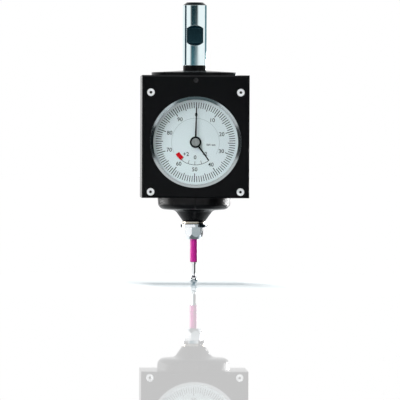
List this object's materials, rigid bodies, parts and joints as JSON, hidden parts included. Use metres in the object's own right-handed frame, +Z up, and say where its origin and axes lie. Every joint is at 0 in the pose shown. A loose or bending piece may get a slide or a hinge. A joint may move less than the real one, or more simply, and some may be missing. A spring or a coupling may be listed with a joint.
{
  "type": "three-axis edge finder",
  "caption": "Spindle-held edge finder: clamping shank, black dial box with window and two hands, rubber boot and tilting, lifting ball stylus with break sleeve",
  "frame": {"origin": "centre of the shank's shoulder, where the shank meets the neck of the top flange", "axes": "+Z up along the shank, -Y out of the dial, +X to the dial's right as it is read"},
  "size_m": [0.0524, 0.044, 0.1384],
  "materials": {
    "ground_steel": "finely ground hardened steel",
    "bright_steel": "turned bright steel",
    "polished_steel": "polished hardened steel ball",
    "black_steel": "black oxide steel",
    "spring_steel": "drawn spring wire",
    "black_anodised": "black anodised aluminium, satin",
    "grey_anodised": "grey anodised aluminium",
    "aluminium": "machined aluminium",
    "pale_metal": "turned aluminium, warm grey",
    "chrome": "chrome plated steel",
    "brass": "rolled and turned brass",
    "bronze": "bearing bronze",
    "black_rubber": "moulded black rubber, slightly glossy",
    "clear_glass": "flat clear crystal",
    "dial_white": "pale bluish white lacquer with black print",
    "hand_black": "black lacquered hand",
    "hub_grey": "turned grey metal",
    "magenta_plastic": "moulded magenta plastic"
  },
  "bodies": {
    "case": {"shank": "ground_steel", "top_flange": "black_anodised", "flange_nut": "aluminium", "run_out_adjusters": "black_steel", "housing": "black_anodised", "front_cover": "black_anodised", "cover_gasket": "black_rubber", "cover_screws": "bright_steel", "crystal_seal": "black_rubber", "crystal": "clear_glass", "crystal_retainer": "grey_anodised", "dial_plate": "dial_white", "movement_front_plate": "brass", "movement_rear_plate": "brass", "plate_pillars": "brass", "movement_posts": "aluminium", "plate_screws": "bright_steel", "guide_screws": "bright_steel", "post_screws": "bright_steel", "upper_guide": "bronze", "lower_guide": "bronze", "hairspring_post": "brass", "hairspring": "spring_steel", "lower_flange": "aluminium", "lower_flange_screws": "bright_steel", "guide_bush": "bronze", "main_spring": "spring_steel", "boot": "black_rubber"},
    "carrier": {"carrier_sleeve": "ground_steel", "carrier_pins": "bright_steel", "spring_seat": "aluminium"},
    "gimbal": {"gimbal_ring": "ground_steel", "gimbal_pins": "bright_steel"},
    "stylus": {"stylus_holder": "ground_steel", "clamp_ring": "pale_metal", "clamp_seal": "black_rubber", "hex_collar": "chrome", "stylus_stud": "bright_steel", "break_sleeve": "magenta_plastic", "stylus_stem": "bright_steel", "stylus_ball": "polished_steel"},
    "plunger": {"plunger_rack": "ground_steel", "plunger_tip": "bright_steel"},
    "rack_wheel": {"rack_arbor": "ground_steel", "large_wheel": "brass", "motion_pinion": "brass"},
    "centre": {"centre_arbor": "ground_steel", "main_hand": "hand_black", "hub_cap": "hub_grey"},
    "hour": {"hour_wheel": "brass", "small_hand": "hand_black"},
    "take_up": {"take_up_arbor": "ground_steel", "take_up_wheel": "brass", "hairspring_collet": "brass"}
  },
  "joints": [
    {"name": "stylus_lift", "type": "slide", "parent": "case", "child": "carrier", "axis": [0, 0, 1], "range_m": [0, 0.005], "stiffness_N_per_m": 300, "springref_m": -0.004, "deforming": ["main_spring", "boot"]},
    {"name": "stylus_tilt_y", "type": "hinge", "parent": "carrier", "child": "gimbal", "pos_m": [0, 0, -0.062], "axis": [1, 0, 0], "range_deg": [-6.5, 6.5], "stiffness_Nm_per_rad": 0.3},
    {"name": "stylus_tilt_x", "type": "hinge", "parent": "gimbal", "child": "stylus", "pos_m": [0, 0, -0.062], "axis": [0, 1, 0], "range_deg": [-6.5, 6.5], "stiffness_Nm_per_rad": 0.3},
    {"name": "plunger_slide", "type": "slide", "parent": "case", "child": "plunger", "axis": [0, 0, 1], "range_m": [0, 0.005]},
    {"name": "rack_wheel_turn", "type": "hinge", "parent": "case", "child": "rack_wheel", "pos_m": [-0.00327, 0, -0.02741], "axis": [0, 1, 0], "range_deg": [-225.1, 0]},
    {"name": "main_hand_turn", "type": "hinge", "parent": "case", "child": "centre", "pos_m": [0, 0, -0.0377], "axis": [0, 1, 0], "range_deg": [0, 1800.1]},
    {"name": "small_hand_turn", "type": "hinge", "parent": "case", "child": "hour", "pos_m": [0, 0, -0.0377], "axis": [0, 1, 0], "range_deg": [0, 90.1]},
    {"name": "take_up_turn", "type": "hinge", "parent": "case", "child": "take_up", "pos_m": [0.0072, 0, -0.0377], "axis": [0, 1, 0], "range_deg": [-360.1, 0], "deforming": ["hairspring"]}
  ],
  "couplings": [
    {"joint": "plunger_slide", "follows": "stylus_lift", "ratio": 1},
    {"joint": "rack_wheel_turn", "follows": "stylus_lift", "rad_per_m": -785.4},
    {"joint": "main_hand_turn", "follows": "stylus_lift", "rad_per_m": 6283.2},
    {"joint": "small_hand_turn", "follows": "stylus_lift", "rad_per_m": 314.16},
    {"joint": "take_up_turn", "follows": "stylus_lift", "rad_per_m": -1256.6}
  ]
}
